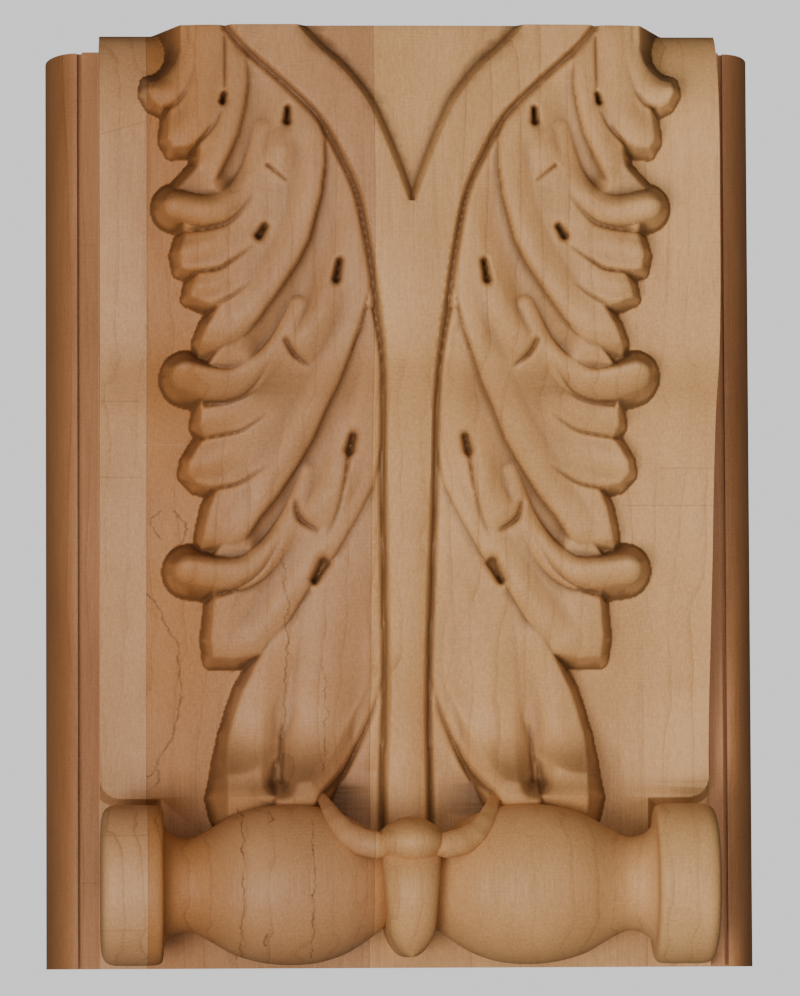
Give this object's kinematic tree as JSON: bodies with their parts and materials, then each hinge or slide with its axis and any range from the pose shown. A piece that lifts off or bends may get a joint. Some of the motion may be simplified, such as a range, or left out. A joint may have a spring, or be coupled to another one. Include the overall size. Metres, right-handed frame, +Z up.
{
  "type": "acanthus block corbel",
  "caption": "Carved hardwood block corbel: a console on a moulded back block, with a mirrored acanthus leaf on the front and a bolster roll at the foot.",
  "frame": {"origin": "centre of the flat back face, on the wall plane", "axes": "+Z up, -Y out of the wall towards the viewer, +X to the viewer's right"},
  "size_m": [0.1778, 0.1131, 0.2286],
  "materials": {
    "hardwood": "sanded and unfinished glued boards, matt"
  },
  "bodies": {
    "root": {"acanthus_corbel": "hardwood"}
  },
  "joints": []
}
